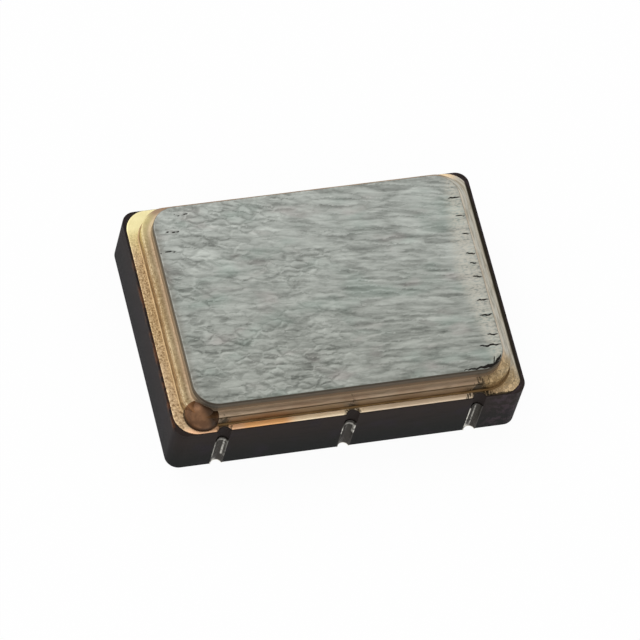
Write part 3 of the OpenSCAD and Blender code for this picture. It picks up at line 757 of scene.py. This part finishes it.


# the ring: a wall painted darker as shade, a dark line of painted shade in its groove, and a ledge painted lighter
# towards the lid's foot as light
def ringShades(f, colour, left, thread):
    x, y, z = f.axes()
    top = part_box("seal_ring")[1].z
    across = f.attribute("across")
    # the wall painted darker as shade, less so on the left
    wall = f.step(across, 0.275 * mm, 0.265 * mm)
    colour = f.mix(wall * (0.42 - 0.34 * left), colour, (84, 70, 46))
    # painted light: the ledge lightened towards the lid's foot against the shade of the lid's wall
    paintedLedgeLight = f.step(across, 0.33 * mm, 0.43 * mm) * f.step(across, 0.62 * mm, 0.5 * mm)
    colour = f.mix(paintedLedgeLight * (1 - 0.4 * left), colour, f.mix(thread, (196, 172, 144), (232, 208, 180)))
    # painted shade on the left ledge's outer part, dulling the highlight on the ring's rounded edge
    ledge = f.step(across, 0.28 * mm, 0.30 * mm) * f.step(across, 0.43 * mm, 0.37 * mm)
    colour = f.mix(ledge * left * 0.35, colour, (112, 94, 62))
    # a dark line of painted shade in the groove, broken along the ring
    line = f.step(z, top - 0.078 * mm, top - 0.068 * mm) * f.step(z, top - 0.024 * mm, top - 0.032 * mm)
    colour = f.mix(line * f.step(thread, 0.25, 0.5) * (0.85 - 0.65 * left), colour, (76, 60, 40))
    # the drop's metal wetted the ring's corner
    return f.mix(f.byDrop(0.345 * mm, 0.97, (0.29, 0.54)), colour, f.dropBrown())


# the band: orange, cream and beige by turns along the front, and pale yellow behind, a painted highlight
def bandShades(f, colour, left):
    x, y, z = f.axes()
    mottle = f.cloud(0.12 * mm, (3, 1, 1), detail=3, shift=27)
    front = f.mix(mottle, (250, 222, 186), (255, 242, 212))
    front = f.mix(f.step((x + 1.75 * mm).size(), 0.7 * mm, 0.35 * mm) * 0.9, front, (248, 186, 120))
    front = f.mix(f.step(x, -2.0 * mm, -2.3 * mm), front, (238, 192, 152))
    front = f.mix(f.step(x, 0.05 * mm, 0.5 * mm), front, f.mix(mottle, (214, 192, 164), (240, 222, 196)))
    colour = f.mix(f.step(y, -2.28 * mm, -2.36 * mm) * (1 - left), colour, front)
    # pale yellow behind: a painted highlight, the lamp's glare on the gold
    behind = f.step(y, 1.9 * mm, 2.2 * mm) * f.step(x, 2.4 * mm, 1.9 * mm)
    colour = f.mix(behind, colour, f.mix(mottle, (216, 204, 152), (236, 226, 178)))
    colour = f.mix(f.step(x, 3.385 * mm, 3.415 * mm), colour, (40, 36, 28))
    return f.mix(f.byDrop(0.372 * mm, 0.94) * 0.8, colour, (56, 40, 24))


ringTones = {
    "pale": (166, 146, 124), "warm": (152, 127, 104), "dark": (112, 96, 72), "light": (190, 170, 146),
    "leftPale": (184, 164, 130), "leftWarm": (172, 148, 112), "leftDark": (124, 102, 70),
    "leftLight": (204, 186, 152), "rightPale": (180, 177, 166), "rightDark": (150, 146, 134),
    "scorch": 0.8, "isRing": True,
}
bandTones = {
    "pale": (238, 216, 180), "warm": (222, 176, 122), "dark": (206, 180, 146), "light": (246, 226, 190),
    "leftPale": (188, 163, 130), "leftWarm": (178, 152, 114), "leftDark": (116, 90, 58),
    "leftLight": (218, 194, 154), "rightPale": (180, 174, 160), "rightDark": (152, 144, 128),
    "scorch": 0.9, "isRing": False,
}


def brazeFinish():
    f = Finish("silverCopperBraze")
    x, y, z = f.axes()
    path = f.along()
    left = f.step(0 - x / (3.5 * mm) - y.size() / (2.5 * mm), -0.08, 0.04)
    streak = f.cloud(0.04 * mm, (6, 1, 1), detail=3, shift=13, place=path)
    colour = f.mix(f.step(streak, 0.4, 0.65), (104, 82, 54), (84, 64, 40))
    colour = f.mix(left, colour, f.mix(f.step(streak, 0.4, 0.65), (160, 136, 102), (144, 120, 88)))
    drop = f.byDrop(brazeForm["dropRadius"] * 1.04, 0.97)
    colour = f.mix(drop, colour, f.dropBrown())
    return f.surface(Base_Color=colour, Metallic=1.0 - 0.35 * drop, Roughness=0.42 + 0.04 * drop,
                     Normal=f.bump(streak, 4 * micron))


def ceramicFinish():
    f = Finish("blackFiredCeramic")
    x, y, z = f.axes()
    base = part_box("ceramic_base")
    high = base[1].z
    grain = f.cloud(0.016 * mm, detail=3, rough=0.6, shift=5)
    patch = f.cloud(0.5 * mm, detail=3, shift=17)
    tape = f.cloud(0.05 * mm, (9, 9, 1), detail=2, shift=3)  # faint lines of the fired sheets
    # darker and greyer towards the bottom, lighter and browner towards the top: painted shade below and a painted
    # reflection of the gold above
    colour = f.mix(f.step(z, base[0].z, high), (22, 24, 23), (42, 34, 31))
    colour = f.mix(f.step(patch, 0.5, 0.7) * 0.5, colour, (38, 32, 40))
    colour = f.mix(f.step(tape, 0.52, 0.7) * 0.35, colour, (20, 18, 18))
    colour = f.mix(f.step(grain, 0.62, 0.75) * 0.3, colour, (84, 80, 82))
    mottled = f.step(f.cloud(0.14 * mm, detail=3, rough=0.65, shift=63), 0.45, 0.62) * f.step(x, 2.6 * mm, 3.0 * mm)
    colour = f.mix(mottled * 0.7, colour, (66, 54, 60))
    end = f.step(0 - x, 3.44 * mm, 3.49 * mm)
    colour = f.mix(end * 0.5, colour, (24, 19, 22))
    # brown blotches along the top of the left end: a painted reflection of the gold above
    stain = f.step(f.cloud(0.35 * mm, detail=3, rough=0.6, shift=52), 0.42, 0.6) * f.step(y, 1.7 * mm, 1.0 * mm)
    colour = f.mix(end * stain * f.step(z, high - 0.17 * mm, high - 0.01 * mm) * 0.8, colour, (100, 64, 40))
    return f.surface(Base_Color=colour, Roughness=0.62 + 0.2 * grain, Specular_IOR_Level=0.12,
                     Normal=f.bump(grain, 4 * micron))


# a terminal: dark inside its notch as painted shade, with a painted highlight along each side
def platedFinish(name, highlights):
    f = Finish(name)
    x, y, z = f.axes()
    grit = f.cloud(0.022 * mm, detail=3, rough=0.6, shift=8)
    patch = f.cloud(0.09 * mm, detail=2, shift=3)
    side = x - 2.54 * mm * highlights["column"]
    # dark inside the notch: painted shade on the plating
    colour = f.mix(patch, (32, 28, 24), (62, 57, 50))
    speckle = f.step(grit, 0.54, 0.66) * f.step(side, 0.03 * mm, -0.08 * mm)
    colour = f.mix(speckle * highlights["speckle"], colour, (150, 146, 138))
    within = f.step(z, highlights["from"] * mm, (highlights["from"] + 0.06) * mm) * f.step(z, highlights["to"] * mm, (highlights["to"] - 0.05) * mm)
    # painted highlights: a lip at each side, an arch near the top, a line down the lining and a speck at the foot
    leftLipHighlight = f.step(side, -0.075 * mm, -0.105 * mm) * highlights["left"]
    rightLipHighlight = f.step(side, 0.075 * mm, 0.105 * mm) * highlights["right"]
    arch = f.step(z, (highlights["to"] - 0.10) * mm, (highlights["to"] - 0.06) * mm) * highlights["arch"]
    line = f.step((side - highlights["line"] * mm).size(), 0.02 * mm, 0.008 * mm) * highlights["lineLevel"]
    foot = f.step(z, 0.14 * mm, 0.05 * mm) * f.step(side, 0.02 * mm, -0.06 * mm) * highlights["foot"]
    paintedHighlight = (leftLipHighlight.greater(rightLipHighlight).greater(arch).greater(line) * within).greater(foot)
    paintedHighlight = paintedHighlight * f.step(patch * 0.6 + grit * 0.6, 0.42, 0.66)
    colour = f.mix(paintedHighlight, colour, (214, 211, 202))
    land = f.step(z, 0.021 * mm, 0.019 * mm)
    colour = f.mix(land, colour, f.mix(patch, (196, 192, 182), (222, 216, 202)))
    return f.surface(Base_Color=colour, Metallic=1.0, Roughness=0.34 + 0.2 * grit,
                     Normal=f.bump(grit, 5 * micron))


# inside the case
cavity = {
    "halfX": 2.75 * mm,
    "halfY": 1.835 * mm,
}


# fired tungsten under the wall, gold-plated where it lies bare in the cavity
def conductorFinish():
    f = Finish("printedTungstenAndGold")
    x, y, z = f.axes()
    grit = f.cloud(0.012 * mm, detail=3, rough=0.6, shift=8)
    edge = (x.size() / cavity["halfX"]).greater(y.size() / cavity["halfY"])
    bare = f.step(edge, 1.0, 0.995)
    metal = f.mix(grit, (92, 94, 100), (140, 142, 148))
    gold = f.mix(grit, (196, 158, 96), (238, 208, 148))
    return f.surface(Base_Color=f.mix(bare, metal, gold), Metallic=1.0, Roughness=0.42 + 0.2 * grit,
                     Normal=f.bump(grit, 3 * micron))


def padFinish():
    f = Finish("goldDiePad")
    grit = f.cloud(0.01 * mm, detail=3, rough=0.65, shift=2)
    stain = f.cloud(0.2 * mm, detail=2, shift=9)
    colour = f.mix(grit, (192, 154, 94), (236, 206, 146))
    colour = f.mix(f.step(stain, 0.55, 0.7) * 0.3, colour, (160, 124, 76))
    return f.surface(Base_Color=colour, Metallic=1.0, Roughness=0.44 + 0.15 * grit,
                     Normal=f.bump(grit, 3 * micron))


# epoxy full of silver flakes
def epoxyFinish():
    f = Finish("silverFilledEpoxy")
    flake = f.cells(0.012 * mm, (1, 1, 0.5))
    lump = f.cloud(0.05 * mm, detail=3, shift=7)
    colour = f.mix(f.step(flake, 0.2, 0.6), (196, 196, 190), (124, 122, 114))
    colour = f.mix(lump * 0.4, colour, (164, 160, 148))
    return f.surface(Base_Color=colour, Metallic=0.8, Roughness=0.36 + 0.3 * flake,
                     Normal=f.bump(flake + lump, 5 * micron))


# the die: blocks of circuit on top between fine tracks, bare pads, and sawn silicon sides
def dieFinish():
    f = Finish("siliconCircuit")
    x, y, z = f.axes()
    low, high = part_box("oscillator_die")
    face = high.z - 6 * micron
    blocks = f.node("ShaderNodeTexBrick", {"offset": 0.37, "squash": 0.6, "squash_frequency": 3},
                    {"Vector": f.spot(0.26 * mm, (1, 1, 1), 3, None), "Scale": 1, "Mortar Size": 0.05,
                     "Color1": shade((96, 104, 128)), "Color2": shade((126, 112, 130)),
                     "Mortar": shade((66, 70, 84)), "Brick Width": 1.3, "Row Height": 0.7})
    tracks = f.node("ShaderNodeTexBrick", {"offset": 0.5},
                    {"Vector": f.spot(0.03 * mm, (1, 1, 1), 1, None), "Scale": 1, "Mortar Size": 0.18,
                     "Color1": shade((178, 176, 168)), "Color2": shade((104, 108, 124)),
                     "Mortar": shade((70, 74, 90)), "Brick Width": 5, "Row Height": 0.8})
    busy = f.step(f.cells(0.34 * mm, (1.4, 1, 1), shift=5), 0.42, 0.46)
    colour = f.mix(busy * 0.7, blocks, tracks)
    fromMiddle = (x - (low.x + high.x) / 2).size()
    border = (fromMiddle / (0.83 * mm)).greater(y.size() / (0.68 * mm))
    colour = f.mix(f.step(border, 0.985, 1.0), colour, (58, 60, 66))
    saw = f.cloud(0.01 * mm, (20, 20, 1), detail=2, shift=3)
    sides = f.mix(saw, (74, 76, 80), (112, 114, 118))
    top = f.step(z, face - 2 * micron, face - micron)
    colour = f.mix(top, sides, colour)
    pad = f.step(z, face + 2 * micron, face + 4 * micron)
    colour = f.mix(pad, colour, (206, 204, 198))
    return f.surface(Base_Color=colour, Metallic=0.5 + 0.5 * pad, Roughness=0.3 - 0.08 * pad + 0.1 * saw)


def wireFinish():
    f = Finish("bondGold")
    draw = f.cloud(0.006 * mm, detail=2, shift=4)
    colour = f.mix(draw, (214, 170, 84), (246, 214, 138))
    return f.surface(Base_Color=colour, Metallic=1.0, Roughness=0.2 + 0.12 * draw)


def quartzFinish():
    f = Finish("etchedQuartz")
    etch = f.cells(0.02 * mm, (1, 1, 1), shift=2)
    haze = f.cloud(0.4 * mm, detail=2, shift=5)
    colour = f.mix(f.step(haze, 0.4, 0.7), (236, 240, 242), (222, 228, 232))
    return f.surface(Base_Color=colour, Roughness=0.16 + 0.2 * etch, IOR=1.54, Transmission_Weight=0.85,
                     Normal=f.bump(etch, 0.6 * micron))


def filmFinish():
    f = Finish("silverElectrode")
    x, y, z = f.axes()
    fine = f.cloud(0.02 * mm, detail=3, shift=5)
    tarnish = f.cloud(0.5 * mm, detail=3, shift=12)
    colour = f.mix(fine, (196, 197, 194), (222, 222, 218))
    colour = f.mix(f.step(tarnish, 0.5, 0.72) * 0.35, colour, (190, 176, 148))
    return f.surface(Base_Color=colour, Metallic=1.0, Roughness=0.24 + 0.14 * fine)


def viaFinish():
    f = Finish("viaTungsten")
    grit = f.cloud(0.01 * mm, detail=3, rough=0.65, shift=8)
    return f.surface(Base_Color=f.mix(grit, (80, 82, 88), (132, 134, 140)), Metallic=1.0,
                     Roughness=0.5 + 0.2 * grit, Normal=f.bump(grit, 3 * micron))


def restFinish():
    f = Finish("printedAlumina")
    grain = f.cloud(0.012 * mm, detail=3, rough=0.6, shift=25)
    edge = f.cloud(0.1 * mm, detail=2, shift=14)
    colour = f.mix(grain, (44, 40, 40), (74, 69, 68))
    colour = f.mix(f.step(edge, 0.5, 0.7) * 0.3, colour, (92, 86, 82))
    return f.surface(Base_Color=colour, Roughness=0.7 + 0.15 * grain, Specular_IOR_Level=0.2,
                     Normal=f.bump(grain, 4 * micron))


# light: a soft white room and two large soft lamps
studio = {
    "fill": 0.62,
    "keyPower": 0.55,
    "keySize": 0.22,
    "keyPlace": (-0.16, 0.20, 0.34),
    "sidePower": 0.135,
    "sideSize": 0.20,
    "sidePlace": (-0.22, -0.26, 0.24),
    "floorColour": (254, 254, 254),
    "floorGlow": 0.955,
    "floorSize": 1.2,
}


def lightStudio():
    world = bpy.data.worlds.new("whiteRoom")
    bpy.context.scene.world = world
    world.use_nodes = True
    room = NodeMaker(world.node_tree, "ShaderNodeOutputWorld")
    fill = room.node("ShaderNodeBackground", {}, {"Color": shade((255, 255, 255)), "Strength": studio["fill"]})
    plain = room.node("ShaderNodeBackground", {}, {"Color": shade((255, 255, 255)), "Strength": 1})
    both = room.node("ShaderNodeMixShader", {}, [room.seenByLens(), fill, plain])
    room.tree.links.new(both.socket, room.output.inputs["Surface"])
    for name in ("key", "side"):
        data = bpy.data.lights.new(name + "Lamp", "AREA")
        data.energy = studio[name + "Power"]
        data.size = studio[name + "Size"]
        lamp = bpy.data.objects.new(name + "Lamp", data)
        lamp.location = studio[name + "Place"]
        lamp.rotation_mode = "QUATERNION"
        lamp.rotation_quaternion = lamp.location.to_track_quat("Z", "Y")
        lamp.visible_camera = False
        bpy.context.scene.collection.objects.link(lamp)
    mesh = bmesh.new()
    bmesh.ops.create_circle(mesh, cap_ends=True, segments=64, radius=studio["floorSize"])
    bmesh.ops.translate(mesh, verts=mesh.verts, vec=(0, 0, -3 * micron))  # clear of the lands
    data = bpy.data.meshes.new("floor")
    mesh.to_mesh(data)
    mesh.free()
    floor = bpy.data.objects.new("floor", data)
    bpy.context.scene.collection.objects.link(floor)
    f = Finish("paleFloor")
    paper = f.node("ShaderNodeBsdfDiffuse", {}, {"Color": shade(studio["floorColour"])})
    glow = f.node("ShaderNodeEmission", {}, {"Color": shade((255, 255, 255)), "Strength": 1})
    both = f.node("ShaderNodeMixShader", {}, [f.seenByLens() * studio["floorGlow"], paper, glow])
    f.tree.links.new(both.socket, f.output.inputs["Surface"])
    coat(floor, f.material)
    print("studio lit")


placeCamera()
lightStudio()
buildLid(lidFinish())
buildRing(goldFinish("goldRing", ringTones, 0.42))
buildBand(goldFinish("goldBandFilm", bandTones, 0.42))
buildBraze(brazeFinish())

# where each terminal's painted highlights lie and how strong they are
notchHighlights = {
    "terminal_1": {"column": -1, "left": 0.5, "right": 0.2, "arch": 0.5, "line": 0.07, "lineLevel": 0.8,
                   "from": 0.25, "to": 0.88, "foot": 1.0, "speckle": 0.9},
    "terminal_2": {"column": 0, "left": 0.9, "right": 0.9, "arch": 0.7, "line": -0.02, "lineLevel": 0.1,
                   "from": 0.50, "to": 0.84, "foot": 0.1, "speckle": 0.0},
    "terminal_3": {"column": 1, "left": 1.0, "right": 0.0, "arch": 0.0, "line": 0.01, "lineLevel": 0.5,
                   "from": 0.02, "to": 0.90, "foot": 1.0, "speckle": 0.3},
    "terminal_4": {"column": 1, "left": 0.6, "right": 0.5, "arch": 0.3, "line": 0.03, "lineLevel": 0.3,
                   "from": 0.1, "to": 0.88, "foot": 0.6, "speckle": 0.6},
    "terminal_5": {"column": 0, "left": 0.5, "right": 0.7, "arch": 0.4, "line": -0.03, "lineLevel": 0.3,
                   "from": 0.3, "to": 0.87, "foot": 0.4, "speckle": 0.7},
    "terminal_6": {"column": -1, "left": 0.7, "right": 0.4, "arch": 0.2, "line": 0.0, "lineLevel": 0.4,
                   "from": 0.05, "to": 0.89, "foot": 0.7, "speckle": 0.5},
}
for name, highlights in notchHighlights.items():
    coat(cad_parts[name], platedFinish("plated" + name.title().replace("_", ""), highlights))

innerFinishes = {
    "lead": conductorFinish(),
    "crystal_lead": conductorFinish(),
    "ground_via": viaFinish(),
    "die_pad": padFinish(),
    "die_adhesive": epoxyFinish(),
    "oscillator_die": dieFinish(),
    "bond_wire": wireFinish(),
    "crystal_adhesive": epoxyFinish(),
    "quartz_blank": quartzFinish(),
    "top_electrode": filmFinish(),
    "bottom_electrode": filmFinish(),
    "crystal_rest": restFinish(),
    "ceramic_base": ceramicFinish(),
}
for start, material in innerFinishes.items():
    for name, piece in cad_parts.items():
        if name.startswith(start):
            coat(piece, material)
print("finishes given")

bpy.context.scene.view_settings.view_transform = "Standard"
